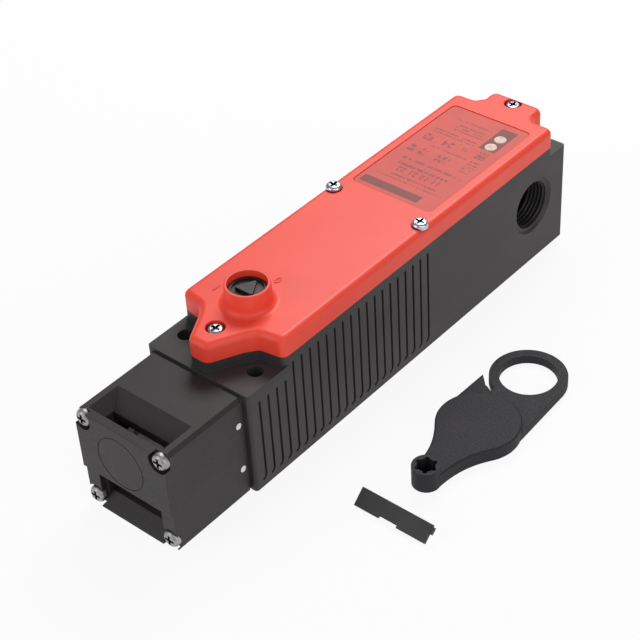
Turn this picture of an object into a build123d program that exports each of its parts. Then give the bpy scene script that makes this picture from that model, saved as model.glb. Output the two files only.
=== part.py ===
from build123d import *
import os
from math import cos, radians, sin, tan

os.makedirs("parts", exist_ok=True)

# Tongue interlock switch with a turning head, an electromagnet lock and a key release.
# X is across, +Y runs from the head to the rear, +Z is up. The origin is the middle of
# the four fixing holes, on the face that the switch is mounted by.

# Overall sizes of the body, in mm
body_w = 43.0
shelf_z = 40.0
rim_h = 3.7
cover_h = 7.3
wall = 3.4
front_t = 8.0
rear_t = 5.4
floor_t = 3.0
shelf_t = 3.0
corner_r = 1.2
wiring_len = 33.1

# Fixing holes
fix_pitch_x = 30.0
fix_r = 2.7
fix_inset_y = 11.0
fix_rear_in = 5.1
fix_boss_r = 4.8

# Grip grooves on both sides
groove_count = 22
groove_pitch = 4.08
groove_first_y = 4.9
groove_w = 1.0
groove_depth = 0.8
groove_low_z = 3.6
groove_shelf_top_z = 35.2
groove_top_z = 40.4
groove_hook_r = 1.1

# Cover
cover_front_y = 17.0
cover_rear_in = 8.1
cover_top_t = 2.6
cover_edge_r = 2.2
cover_corner_r = 2.6
shoulder_in = 0.6
lobe_tip_y = 1.4
lobe_tip_half_w = 3.6
lobe_tip_r = 3.0
lobe_half_w = 9.4
lobe_root_in = 4.6
lobe_neck_half_w = 12.4
lobe_neck_in = 0.8
lobe_neck_r = 2.6
rear_lobe_half_w = 11.0
rear_lobe_root_len = 3.0
rear_lobe_neck_half_w = 13.2
rear_lobe_neck_len = 0.3
rear_lobe_neck_r = 1.6
rear_lobe_over = 1.1
gasket_d1 = 1.1
gasket_d2 = 2.2
gasket_deep = 1.0
gasket_fit = 0.05

# Cover screws, metric 3
screw_hole_r = 1.6
screw_shank_r = 1.5
screw_head_r = 2.85
screw_head_h = 2.0
screw_bore_r = 3.3
screw_sink = 2.3
lobe_screw_in = 10.2
rear_screw_in = 3.8
mid_screw_in = 2.9
mid_screw_y = 90.4
mid_ring_r = 3.05
mid_ring_deep = 0.4
screw_len = 14.0
screw_spare = 0.5
screw_web = 0.5
screw_dome = 0.6
screw_tip = 0.4
recess_share = 0.62
recess_half_w = 0.5
screw_post_r = 3.6
tap_gap = 0.05

# Key release collar and spindle
collar_y = 25.9
collar_h = 7.5
collar_rim_r = 7.5
collar_bore_r = 6.6
collar_base_r = 8.0
collar_foot_r = 2.0
collar_edge_r = 0.3
spindle_seat_h = 1.0
spindle_r = 6.1
spindle_sunk = 2.1
spindle_rim_w = 0.8
spindle_rim_deep = 0.7
spindle_key_r = 4.6
spindle_key_h = 1.2
spindle_key_edge_r = 0.6
spindle_stem_r = 3.0
spindle_lift = 0.1
clip_w = 1.6
clip_t = 0.8
spindle_run = 0.05
release_turn_deg = 90.0

# Label recess and its two lamps
label_half_w = 17.0
label_gap = 7.4
label_deep = 0.7
label_t = 0.4
label_r = 2.0
label_fit = 0.1
lamp_x = 10.1
lamp_in = 9.3
lamp_pitch = 5.8
lamp_r = 2.4
lamp_fit = 0.1
lamp_proud = 0.2
lamp_edge_r = 0.5

# Conduit entries, metric 20 by 1.5
entry_in = 19.7
entry_z = 24.0
entry_bore_r = 9.25
entry_ring_r = 11.2
entry_ring_deep = 0.9
entry_len = 9.0
entry_boss_r = 12.4

# Turning head
head_w = 38.4
head_len = 34.8
head_low_z = 0.3
head_h = 38.8
head_edge = 1.2
head_gasket_t = 0.8
head_gasket_in = 0.3
gasket_window_in = 2.0
front_wall_t = 3.2
front_plate_low_z = 15.3
post_set_back = 1.0
channel_half_w = 12.6
tongue_room = 4.9
slit_len = 6.7
funnel_half_w = 15.8
funnel_len = 12.7
funnel_deep = 4.8
mouth_half_w = 13.6
mouth_lip = 0.3
cavity_over = 1.5
head_screw_pitch = 32.6
head_screw_head_r = 3.0
head_screw_head_h = 2.3
head_pocket_r = 3.8
head_pocket_deep = 2.4
head_screw_bite = 6.8
ring_groove_r = 9.8
ring_groove_w = 0.35
ring_groove_deep = 0.25
ring_groove_x = -0.9
ring_groove_over = 10.7
pin_r = 1.2
pin_y = -2.7
pin_zs = (11.0, 29.1)
pin_fit = 0.02
base_t = 3.4
base_fit = 0.15

# Cam wheel, its axle and the push rod
wheel_disc_r = 10.2
wheel_disc_x0 = 6.8
wheel_disc_x1 = 9.2
wheel_hub_r = 4.6
wheel_hub_gap = 0.3
axle_r = 2.5
axle_in = 1.5
run_gap = 0.05
wheel_turn_deg = 50.0
cam_half_w = 5.4
cam_high_r = 9.4
cam_drop = 4.0
notch_w = 3.4
notch_deep = 3.2
rod_r = 2.6
rod_nose_r = 1.0
rod_nose_gap = 0.45
rod_taper_len = 2.8
rod_end_y = 47.0
cam_bite_deg = 64.0
cam_rim_deg = 88.0
cam_clear_degs = (90.0, 44.0, 12.0)
cam_clear = 2.0
notch_degs = (-50.0, 150.0, 240.0)
bridge_half_w = 4.2
bridge_t = 1.5
bridge_h = 4.4
rivet_r = 0.9
rivet_h = 0.6
rivet_in = 0.2

# Springs
spring_wire_r = 0.4
rod_spring_r = 1.7
rod_spring_turns = 5
magnet_spring_gap = 0.8
magnet_spring_turns = 4
spring_room = 10.0

# Lock slide and its electromagnet
slide_x0 = 6.9
slide_x1 = 9.1
slide_h = 6.0
slide_gap = 0.3
slide_travel = 4.0
lug_over = 9.1
lug_h = 4.2
lug_t = 3.2
lug_half_w = 2.0
release_cam_r0 = 4.0
release_cam_gap = 0.3
release_disc_r = 9.0
release_disc_t = 3.2
detent_r = 1.2
bush_fit = 0.02
coil_y0 = 76.0
coil_len = 36.0
coil_r = 12.4
bobbin_r = 6.9
bobbin_flange_r = 13.4
bobbin_flange_t = 1.6
yoke_t = 3.0
yoke_half_w = 15.5
armature_r = 4.6
armature_run = 0.08
armature_in = 13.0
armature_edge = 0.8
yoke_over = 1.0
rear_pin_r = 1.6
rear_pin_gap = 0.3
rear_pin_in = 8.0

# Switching blocks and terminals
block_a_y0 = 35.4
block_a_len = 24.0
block_a_x0 = -13.0
block_a_x1 = 6.2
block_h = 25.0
block_b_gap = 6.0
block_b_len = 19.0
block_b_half_w = 12.0
terminal_pitch = 7.2
terminal_in = 3.4
terminal_screw_r = 2.2
terminal_screw_h = 1.6
terminal_screw_len = 2.5
terminal_sink = 1.4
terminal_hole_deep = 4.0
terminal_clear = 0.4
chamber_wall = 3.0
chamber_half_w = 4.6
chamber_half_h = 4.0
block_edge = 1.0
board_t = 1.6
board_lift = 0.5
board_over = 4.0
post_r = 2.0
post_in = 0.5
earth_in = 5.0
earth_half_w = 5.0
earth_half_len = 4.0
earth_t = 2.0
earth_screw_len = 1.9

# Loose release key, lying beside the switch
key_x = 61.2
key_disc_y = 65.0
key_disc_r = 14.3
key_disc_h = 5.0
key_edge_r = 0.6
key_plate_t = 3.2
key_ring_x = 60.2
key_ring_y = 95.2
key_ring_r = 13.4
key_ring_hole_r = 10.0
key_waist = 0.5
key_boss_x = 61.8
key_boss_y = 36.0
key_boss_r = 4.8
key_boss_h = 7.6
key_neck_deg = 36.0
key_neck_pull = 14.0
key_socket_floor = 1.2
key_socket_r = 3.0
key_lobe_r = 0.75
key_lobe_at = 3.05
key_slit = 1.7
barb_tip = (47.6, 86.4)
barb_back = 7.0
barb_root = 4.0

# Loose slot plug, standing on its lower edge and its two legs
plug_x0 = 50.4
plug_y = 13.4
plug_len = 27.6
plug_h = 6.4
plug_t = 1.4
plug_lean_deg = 48.0
plug_leg_w = 4.0
plug_leg_t = 1.2
plug_leg_in = 3.0
plug_leg_z = 3.4
plug_notch = 0.8
plug_notch_x0 = 9.4
plug_notch_x1 = 16.6
plug_tab_len = 0.9
plug_tab_low = 3.4
plug_tab_high = 5.8
plug_tab_y = 0.2

# Places worked out from the sizes above; lengths along Y are given from the body's front
block_b_y0 = coil_y0 + coil_len + yoke_t + block_b_gap
body_len = block_b_y0 + block_b_len + wiring_len
side_x = body_w / 2
parting_z = shelf_z + rim_h
cover_top_z = parting_z + cover_h
cover_rear_y = body_len - cover_rear_in
rear_lobe_y = body_len + rear_lobe_over
fix_pitch_y = body_len - fix_inset_y - fix_rear_in
front_y = -(fix_inset_y + fix_pitch_y / 2)
entry_y = body_len - entry_in
mid_screw_x = side_x - mid_screw_in
rear_screw_y = rear_lobe_y - rear_screw_in
label_y0 = mid_screw_y + label_gap
label_y1 = cover_rear_y - label_gap
lamp_ys = (label_y1 - lamp_in - lamp_pitch, label_y1 - lamp_in)
collar_top_z = cover_top_z + collar_h
spindle_seat_z = cover_top_z + spindle_seat_h
spindle_top_z = collar_top_z - spindle_sunk
head_high_z = head_low_z + head_h
rod_axis_z = (head_low_z + head_high_z) / 2
head_front = -head_len
head_back = -head_gasket_t
head_wall_y = head_front + front_wall_t
ramp_top_y = head_wall_y + funnel_len
slit_back_y = head_wall_y + slit_len
slit_z = head_high_z - funnel_deep
wheel_y = head_wall_y + tongue_room + wheel_disc_r
cavity_low_z = rod_axis_z - wheel_disc_r - tongue_room
cavity_top_z = rod_axis_z + wheel_disc_r + cavity_over
wheel_hub_half = channel_half_w - wheel_hub_gap
axle_half = head_w / 2 - axle_in
lug_z0 = rod_axis_z + lug_over
lug_z1 = lug_z0 + lug_h
slide_end_y = coil_y0 - yoke_t - spring_room
armature_end_y = coil_y0 + coil_len - armature_in
rear_pin_end_y = block_b_y0 + rear_pin_in
board_z = parting_z + board_lift
earth_y = entry_y - earth_in


def at_front(shape):
    """Put a shape that is drawn from the body's front face into the part's frame."""
    return Pos(0, front_y, 0) * shape


def box(x0, x1, y0, y1, z0, z1):
    """A block between two corners."""
    middle = Pos((x0 + x1) / 2, (y0 + y1) / 2, (z0 + z1) / 2)
    return middle * Box(x1 - x0, y1 - y0, z1 - z0)


def rod_y(radius, y0, y1, x=0.0, z=0.0):
    """A round bar along Y."""
    return Pos(x, (y0 + y1) / 2, z) * Rot(90, 0, 0) * Cylinder(radius, y1 - y0)


def rod_x(radius, x0, x1, y=0.0, z=0.0):
    """A round bar along X."""
    return Pos((x0 + x1) / 2, y, z) * Rot(0, 90, 0) * Cylinder(radius, x1 - x0)


def rod_z(radius, z0, z1, x=0.0, y=0.0):
    """A round bar along Z."""
    return Pos(x, y, (z0 + z1) / 2) * Cylinder(radius, z1 - z0)


def side_profile(points, half_w):
    """A prism across the part from an outline of (y, z) points."""
    face = make_face(Polyline(*[(0, y, z) for y, z in points], close=True))
    return extrude(face, half_w, dir=(1, 0, 0), both=True)


def plate(sketch, z0, z1):
    """A flat shape between two heights."""
    return extrude(Pos(0, 0, z0) * sketch, z1 - z0)


def save(name, *shapes):
    """Write one sub-part, one solid or several, to its file."""
    placed = [at_front(shape) for shape in shapes]
    node = placed[0] if len(placed) == 1 else Compound(placed)
    node.label = name
    export_step(node, f"parts/{name}.step")


def cover_outline():
    """The plan of the cover: a long plate with a screw lobe at each end."""
    tips = [(lobe_tip_half_w, lobe_tip_y), (rear_lobe_half_w, rear_lobe_y)]
    necks = [(lobe_half_w, cover_front_y - lobe_root_in), (lobe_neck_half_w, cover_front_y - lobe_neck_in)]
    sides = [(side_x, cover_front_y + shoulder_in), (side_x, cover_rear_y)]
    rear_necks = [(rear_lobe_neck_half_w, cover_rear_y + rear_lobe_neck_len),
                  (rear_lobe_half_w, cover_rear_y + rear_lobe_root_len)]
    half = tips[:1] + necks + sides + rear_necks + tips[1:]
    ring = half + [(-x, y) for x, y in reversed(half)]
    face = make_face(Polyline(*ring, close=True))
    for places, radius in ((tips, lobe_tip_r), (necks, lobe_neck_r), (sides, cover_corner_r),
                           (rear_necks, rear_lobe_neck_r)):
        face = fillet(corners_at(face, places), radius)
    return face


def corners_at(face, places):
    """The corners of a plan that lie at the given places, on either side."""
    return [v for v in face.vertices() if any(abs(abs(v.X) - x) + abs(v.Y - y) < 0.01 for x, y in places)]


def inner_plan(inset):
    """The plan of the chamber under the cover, led round the two middle screws."""
    y0 = cover_front_y + inset
    y1 = cover_rear_y - inset
    plan = Pos(0, (y0 + y1) / 2) * RectangleRounded(body_w - 2 * inset, y1 - y0, 2.0)
    for side in (-1, 1):
        plan -= Pos(side * mid_screw_x, mid_screw_y) * Circle(screw_hole_r + screw_web + inset)
    return plan


def corner_bosses(z1):
    """Round posts about the four fixing holes."""
    posts = []
    for x in (-fix_pitch_x / 2, fix_pitch_x / 2):
        for y in (fix_inset_y, fix_inset_y + fix_pitch_y):
            posts.append(rod_z(fix_boss_r, 0, z1, x, y))
    return posts


def groove(side, y, top_z):
    """One grip groove with its hooked lower end."""
    y0 = y - groove_w / 2
    y1 = y + groove_w / 2
    x0 = side * (side_x - groove_depth)
    x1 = side * (side_x + 1)
    lo, hi = min(x0, x1), max(x0, x1)
    slot = box(lo, hi, y0, y1, groove_low_z + groove_hook_r, top_z)
    turn = rod_x(groove_hook_r + groove_w, lo, hi, y1 - groove_hook_r - groove_w,
                 groove_low_z + groove_hook_r)
    turn -= rod_x(groove_hook_r, lo, hi, y1 - groove_hook_r - groove_w, groove_low_z + groove_hook_r)
    keep_y = y1 - groove_hook_r - groove_w
    hook = turn & box(lo, hi, keep_y, y1, groove_low_z - groove_w, groove_low_z + groove_hook_r)
    return slot + hook


def make_housing():
    """The moulded lower case with its end shelves, grip sides and conduit entries."""
    plan = Pos(0, body_len / 2) * RectangleRounded(body_w, body_len, corner_r)
    case = plate(plan, 0, shelf_z)
    case += plate(cover_outline(), shelf_z, parting_z) & box(-side_x, side_x, 0, body_len, shelf_z, parting_z)
    inner_x = side_x - wall
    cavity = box(-inner_x, inner_x, front_t, body_len - rear_t, floor_t, shelf_z - shelf_t)
    for post in corner_bosses(shelf_z):
        cavity -= post
    for x, y, z in cover_screw_seats():
        cavity -= rod_z(screw_post_r, z - screw_len - screw_spare - screw_web, shelf_z, x, y)
    entry_boss = rod_x(entry_boss_r, side_x - entry_len, side_x + 1, entry_y, entry_z)
    cavity -= entry_boss
    cavity -= mirror(entry_boss, Plane.YZ)
    cavity -= rod_y(entry_boss_r, body_len - entry_len, body_len + 1, 0, entry_z)
    case -= cavity
    case -= plate(inner_plan(wall), shelf_z - shelf_t - 1, parting_z)
    case -= plate(inner_plan(gasket_d1) - inner_plan(gasket_d2), parting_z - gasket_deep, parting_z)
    for x in (-fix_pitch_x / 2, fix_pitch_x / 2):
        for y in (fix_inset_y, fix_inset_y + fix_pitch_y):
            case -= rod_z(fix_r, -1, shelf_z + 1, x, y)
    for x, y, z in cover_screw_seats():
        case -= rod_z(screw_shank_r + tap_gap, z - screw_len - screw_spare, parting_z + 1, x, y)
    for x, z in head_screw_places():
        case -= rod_y(screw_shank_r + tap_gap, -1, head_screw_bite, x, z)
    case -= entry_cuts()
    case -= rod_y(rod_r + run_gap, -1, front_t + 1, 0, rod_axis_z)
    case -= slide_window(-1, front_t + 1)
    for side in (-1, 1):
        for i in range(groove_count):
            y = groove_first_y + i * groove_pitch
            top_z = groove_top_z if y > cover_front_y + groove_w else groove_shelf_top_z
            case -= groove(side, y, top_z)
    return case


def entry_cuts():
    """The two side entries and the rear one, each with its countersunk ring."""
    side = rod_x(entry_bore_r, side_x - entry_len - 1, side_x + 1, entry_y, entry_z)
    ring = Pos(side_x - entry_ring_deep / 2, entry_y, entry_z) * Rot(0, 90, 0) * Cone(
        entry_ring_r - entry_ring_deep, entry_ring_r, entry_ring_deep)
    right = side + ring
    left = mirror(right, Plane.YZ)
    rear_y = body_len - entry_ring_deep / 2
    rear = rod_y(entry_bore_r, body_len - entry_len - 1, body_len + 1, 0, entry_z)
    rear += Pos(0, rear_y, entry_z) * Rot(-90, 0, 0) * Cone(
        entry_ring_r - entry_ring_deep, entry_ring_r, entry_ring_deep)
    return [right, left, rear]


def cover_screw_seats():
    """Where the cover screws' heads sit: two sunk in the lobes, two proud at the long sides."""
    lobe_z = cover_top_z - screw_sink
    mid_z = cover_top_z - mid_ring_deep
    return [(0, lobe_screw_in, lobe_z), (0, rear_screw_y, lobe_z),
            (-mid_screw_x, mid_screw_y, mid_z), (mid_screw_x, mid_screw_y, mid_z)]


def head_screw_places():
    """The four corner screws of the head."""
    half = head_screw_pitch / 2
    return [(x, rod_axis_z + z) for x in (-half, half) for z in (-half, half)]


def pan_screw(head_r, head_h, shank_r, length):
    """A cross-recess pan head screw, seated on z = 0 with its head up."""
    dome = Pos(0, 0, head_h / 2) * Cylinder(head_r, head_h)
    dome = fillet(dome.edges().sort_by(Axis.Z)[-1], head_h * screw_dome)
    arm = head_r * recess_share
    for turn in (0, 90):
        dome -= Rot(0, 0, turn) * box(-arm, arm, -recess_half_w, recess_half_w, head_h / 2, head_h + 1)
    shank = rod_z(shank_r, -length, 0)
    shank = chamfer(shank.edges().sort_by(Axis.Z)[0], screw_tip)
    return dome + shank


def make_cover():
    """The red cover with its screw lobes, label recess and key release collar."""
    shell = plate(cover_outline(), parting_z, cover_top_z)
    top_edges = shell.edges().filter_by(lambda e: abs(e.center().Z - cover_top_z) < 0.01)
    shell = fillet(top_edges, cover_edge_r)
    shell -= plate(inner_plan(wall), parting_z, cover_top_z - cover_top_t)
    web_z = cover_top_z - cover_top_t
    collar = Pos(0, collar_y, (cover_top_z + collar_top_z) / 2) * Cone(
        collar_base_r, collar_rim_r, collar_h)
    shell += collar
    foot = shell.edges().filter_by(GeomType.CIRCLE).filter_by(
        lambda e: abs(e.center().Z - cover_top_z) < 0.01 and abs(e.radius - collar_base_r) < 0.01)
    shell = fillet(foot, collar_foot_r)
    rim = shell.edges().filter_by(GeomType.CIRCLE).filter_by(lambda e: e.center().Z > collar_top_z - 0.01)
    shell = fillet(rim, collar_edge_r)
    shell -= rod_z(collar_bore_r, spindle_seat_z, collar_top_z + 1, 0, collar_y)
    shell -= rod_z(spindle_stem_r + spindle_run, web_z - 1, spindle_seat_z + 1, 0, collar_y)
    for x, y, z in cover_screw_seats():
        shell -= rod_z(screw_hole_r, parting_z - 1, cover_top_z + 1, x, y)
        shell -= rod_z(screw_bore_r if x == 0 else mid_ring_r, z, cover_top_z + 1, x, y)
    shell -= plate(label_plan(0), cover_top_z - label_deep, cover_top_z + 1)
    for y in lamp_ys:
        shell -= rod_z(lamp_r + lamp_fit, web_z - 1, cover_top_z, lamp_x, y)
    return shell


def label_plan(inset):
    """The rounded outline of the label field."""
    y0, y1 = label_y0 + inset, label_y1 - inset
    return Pos(0, (y0 + y1) / 2) * RectangleRounded(2 * (label_half_w - inset), y1 - y0, label_r)


def make_label():
    """The bare label in its recess, open over the two lamps."""
    sheet = label_plan(label_fit)
    for y in lamp_ys:
        sheet -= Pos(lamp_x, y) * Circle(lamp_r + lamp_fit)
    z0 = cover_top_z - label_deep
    return plate(sheet, z0, z0 + label_t)


def make_lamps():
    """The two domed lamp lenses, standing on their board."""
    top = cover_top_z - label_deep + label_t + lamp_proud
    lenses = []
    for y in lamp_ys:
        lens = rod_z(lamp_r, board_z + board_t, top, lamp_x, y)
        lenses.append(fillet(lens.edges().sort_by(Axis.Z)[-1], lamp_edge_r))
    return lenses


def make_board():
    """The lamp board under the cover."""
    x = block_b_half_w
    return box(-x, x, block_b_y0, lamp_ys[-1] + board_over, board_z, board_z + board_t)


def make_board_posts():
    """Two posts that carry the lamp board on the rear switching block."""
    x = block_b_half_w - post_r - post_in
    y = block_b_y0 + block_b_len / 2
    return [rod_z(post_r, floor_t + block_h, board_z, side * x, y) for side in (-1, 1)]


def make_gasket():
    """The cord seal in the groove of the parting face."""
    ring = inner_plan(gasket_d1 + gasket_fit) - inner_plan(gasket_d2 - gasket_fit)
    return plate(ring, parting_z - gasket_deep, parting_z)


def make_cover_screws():
    """Four screws: two sunk in the lobes, two standing proud at the sides."""
    screw = pan_screw(screw_head_r, screw_head_h, screw_shank_r, screw_len)
    return [Pos(x, y, z) * screw for x, y, z in cover_screw_seats()]


def make_head():
    """The square head: two slots for the tongue, one on top and one in front."""
    hw = head_w / 2
    block = box(-hw, hw, head_front, head_back, head_low_z, head_high_z)
    long_edges = block.edges().filter_by(Axis.Y)
    block = chamfer(long_edges.sort_by(Axis.Z)[-2:], head_edge)
    throat = [(head_wall_y, slit_z + 1), (slit_back_y, slit_z + 1), (slit_back_y, cavity_top_z),
              (head_back + 1, cavity_top_z), (head_back + 1, cavity_low_z),
              (head_front + funnel_deep, cavity_low_z), (head_front, head_low_z + mouth_lip),
              (head_front - 1, head_low_z + mouth_lip), (head_front - 1, front_plate_low_z),
              (head_wall_y, front_plate_low_z)]
    block -= side_profile(throat, channel_half_w)
    block -= top_funnel()
    mouth = [(head_front - 1, head_low_z + mouth_lip), (head_front, head_low_z + mouth_lip),
             (head_front + front_wall_t, head_low_z + mouth_lip + ramp_rise(front_wall_t)),
             (head_front + front_wall_t, front_plate_low_z), (head_front - 1, front_plate_low_z)]
    block -= side_profile(mouth, mouth_half_w)
    for side in (-1, 1):
        x0, x1 = sorted((side * mouth_half_w, side * (hw + 1)))
        block -= box(x0, x1, head_front - 1, head_front + post_set_back, head_low_z - 1, front_plate_low_z)
    for x, z in head_screw_places():
        block -= rod_y(head_pocket_r, head_front - 1, head_front + head_pocket_deep, x, z)
        block -= rod_y(screw_hole_r, head_front, head_back + 1, x, z)
    ring_z = front_plate_low_z + ring_groove_over
    ring = rod_y(ring_groove_r, head_front - 1, head_front + ring_groove_deep, ring_groove_x, ring_z)
    ring -= rod_y(ring_groove_r - ring_groove_w, head_front - 1, head_front + 1, ring_groove_x, ring_z)
    block -= ring
    axle_x = axle_half + pin_fit
    block -= rod_x(axle_r + pin_fit, -axle_x, axle_x, wheel_y, rod_axis_z)
    for z in pin_zs:
        block -= rod_x(pin_r + pin_fit, -hw - 1, hw + 1, pin_y, z)
    return block


def ramp_rise(depth):
    """How far the floor of the front slot has risen at a depth behind its mouth."""
    return (cavity_low_z - head_low_z - mouth_lip) * depth / funnel_deep


def top_funnel():
    """The funnel of the top slot, wide at the top face and narrow at the slit."""
    low = Pos(0, (head_wall_y + slit_back_y) / 2, slit_z) * Rectangle(2 * channel_half_w, slit_len)
    high = Pos(0, (head_wall_y + ramp_top_y) / 2, head_high_z) * Rectangle(2 * funnel_half_w, funnel_len)
    return loft([low.face(), high.face()])


def make_head_gasket():
    """The flat seal between head and body."""
    hw = head_w / 2 - head_gasket_in
    window = channel_half_w - gasket_window_in
    sheet = box(-hw, hw, head_back, 0, head_low_z + head_gasket_in, head_high_z - head_gasket_in)
    sheet -= box(-window, window, head_back - 1, 1,
                 cavity_low_z + gasket_window_in, cavity_top_z - gasket_window_in)
    for x, z in head_screw_places():
        sheet -= rod_y(screw_hole_r, head_back - 1, 1, x, z)
    return sheet


def make_head_base():
    """The plate that closes the back of the head and guides rod and slide."""
    half = channel_half_w - base_fit
    base = box(-half, half, head_back - base_t, head_back, cavity_low_z + base_fit, cavity_top_z - base_fit)
    base -= rod_y(rod_r + run_gap, head_back - base_t - 1, head_back + 1, 0, rod_axis_z)
    base -= slide_window(head_back - base_t - 1, head_back + 1)
    for z in pin_zs:
        base -= rod_x(pin_r + pin_fit, -half - 1, half + 1, pin_y, z)
    return base


def slide_window(y0, y1):
    """The slot that the lock slide runs through."""
    half_h = slide_h / 2 + slide_gap
    return box(slide_x0 - slide_gap, slide_x1 + slide_gap, y0, y1, rod_axis_z - half_h, rod_axis_z + half_h)


def make_head_pins():
    """Two pins across the head that hold its base plate."""
    half = head_w / 2
    return [rod_x(pin_r, -half, half, pin_y, z) for z in pin_zs]


def make_head_screws():
    """Four long corner screws that hold the head on the body."""
    screws = []
    seat = head_front + head_pocket_deep
    for x, z in head_screw_places():
        screw = pan_screw(head_screw_head_r, head_screw_head_h, screw_shank_r, head_screw_bite - 0.3 - seat)
        screws.append(Pos(x, seat, z) * Rot(90, 0, 0) * screw)
    return screws


def spiral_points(r_start, r_step, deg_total, count):
    """Points of a spiral whose radius changes evenly with the angle."""
    points = []
    for i in range(count + 1):
        turn = deg_total * i / count
        points.append((r_start + r_step * turn, turn))
    return points


def make_wheel():
    """The cam wheel: two notched discs, a hub and a drum with a spiral flank."""
    drum = rod_x(cam_high_r, -cam_half_w, cam_half_w, wheel_y, rod_axis_z)
    fall = cam_drop / wheel_turn_deg
    flank = [(wheel_y + r * cos(radians(t)), rod_axis_z - r * sin(radians(t)))
             for r, t in spiral_points(cam_high_r, -fall, cam_bite_deg, 8)]
    corners = [(wheel_y + (cam_high_r + cam_clear) * cos(radians(t)),
                rod_axis_z - (cam_high_r + cam_clear) * sin(radians(t))) for t in cam_clear_degs]
    rim = (wheel_y + cam_high_r * cos(radians(cam_rim_deg)),
           rod_axis_z - cam_high_r * sin(radians(cam_rim_deg)))
    curve = Spline(*[(0, y, z) for y, z in flank])
    close = Polyline((0, *flank[-1]), (0, *rim), *[(0, *p) for p in corners], (0, *flank[0]))
    bite = make_face([curve, close])
    drum -= extrude(bite, cam_half_w + 1, dir=(1, 0, 0), both=True)
    wheel = drum + rod_x(wheel_hub_r, -wheel_hub_half, -cam_half_w, wheel_y, rod_axis_z)
    wheel += rod_x(wheel_hub_r, cam_half_w, wheel_hub_half, wheel_y, rod_axis_z)
    for side in (-1, 1):
        x0, x1 = sorted((side * wheel_disc_x0, side * wheel_disc_x1))
        disc = rod_x(wheel_disc_r, x0, x1, wheel_y, rod_axis_z)
        for turn in notch_degs:
            notch_r = wheel_disc_r - notch_deep
            notch = box(x0 - 1, x1 + 1, notch_r, wheel_disc_r + 1, -notch_w / 2, notch_w / 2)
            disc -= Pos(0, wheel_y, rod_axis_z) * Rot(turn, 0, 0) * notch
        wheel += disc
    return wheel - rod_x(axle_r + run_gap, -wheel_hub_half - 1, wheel_hub_half + 1, wheel_y, rod_axis_z)


def make_axle():
    """The axle of the cam wheel, held in the side walls of the head."""
    return rod_x(axle_r, -axle_half, axle_half, wheel_y, rod_axis_z)


def make_push_rod():
    """The rod that the cam pushes back, with its rounded nose."""
    nose_y = wheel_y + cam_high_r + rod_nose_gap + rod_nose_r
    nose = rod_x(rod_nose_r, -rod_r, rod_r, nose_y, rod_axis_z)
    taper_y = nose_y + rod_taper_len
    taper = side_profile([(nose_y, rod_axis_z + rod_nose_r), (nose_y, rod_axis_z - rod_nose_r),
                          (taper_y, rod_axis_z - rod_r), (taper_y, rod_axis_z + rod_r)], rod_r)
    tip = (nose + taper) & rod_y(rod_r, nose_y - rod_nose_r, taper_y, 0, rod_axis_z)
    return tip + rod_y(rod_r, taper_y, rod_end_y, 0, rod_axis_z)


def make_bridge(y):
    """A contact bridge with two silver rivets, carried on a rod's end."""
    half_h = bridge_h / 2
    bar = box(-bridge_half_w, bridge_half_w, y, y + bridge_t, rod_axis_z - half_h, rod_axis_z + half_h)
    rivet_x = bridge_half_w - rivet_r - rivet_in
    for side in (-1, 1):
        bar += rod_y(rivet_r, y + bridge_t, y + bridge_t + rivet_h, side * rivet_x, rod_axis_z)
    return bar


def coil_spring(y0, y1, radius, turns):
    """A compression spring along Y at the rod's height."""
    wire = spring_wire_r
    path = Helix(pitch=(y1 - y0 - 2 * wire) / turns, height=y1 - y0 - 2 * wire, radius=radius)
    section = Plane(origin=path @ 0, z_dir=path % 0) * Circle(wire)
    spring = sweep(section, path=path, is_frenet=True)
    return Pos(0, y0 + wire, rod_axis_z) * Rot(-90, 0, 0) * spring


def make_block(x0, x1, y0, length, rod_hole_r):
    """A switching block: moulded case with a chamber for its contact bridge."""
    y1 = y0 + length
    z1 = floor_t + block_h
    case = box(x0, x1, y0, y1, floor_t, z1)
    case = chamfer(case.edges().filter_by(Axis.Y).sort_by(Axis.Z)[-2:], block_edge)
    case -= box(-chamber_half_w, chamber_half_w, y0 + chamber_wall, y1 - chamber_wall,
                rod_axis_z - chamber_half_h, rod_axis_z + chamber_half_h)
    case -= rod_y(rod_hole_r, y0 - 1, y0 + chamber_wall + 1, 0, rod_axis_z)
    for x, y in block_terminals(x0, x1, y0, length):
        case -= rod_z(terminal_screw_r + terminal_clear, z1 - terminal_sink, z1 + 1, x, y)
        case -= rod_z(screw_shank_r, z1 - terminal_hole_deep, z1 + 1, x, y)
    return case


def block_terminals(x0, x1, y0, length):
    """Terminal screw places: a row along the front edge and one along the rear edge."""
    middle = (x0 + x1) / 2
    count = max(2, int((x1 - x0) / terminal_pitch))
    places = []
    for y in (y0 + terminal_in, y0 + length - terminal_in):
        for i in range(count):
            places.append((middle + (i - (count - 1) / 2) * terminal_pitch, y))
    return places


def make_terminal_screws():
    """The terminal screws of both switching blocks."""
    seat = floor_t + block_h - terminal_sink
    places = block_terminals(block_a_x0, block_a_x1, block_a_y0, block_a_len)
    places += block_terminals(-block_b_half_w, block_b_half_w, block_b_y0, block_b_len)
    screw = pan_screw(terminal_screw_r, terminal_screw_h, screw_shank_r - tap_gap, terminal_screw_len)
    return [Pos(x, y, seat) * screw for x, y in places]


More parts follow.
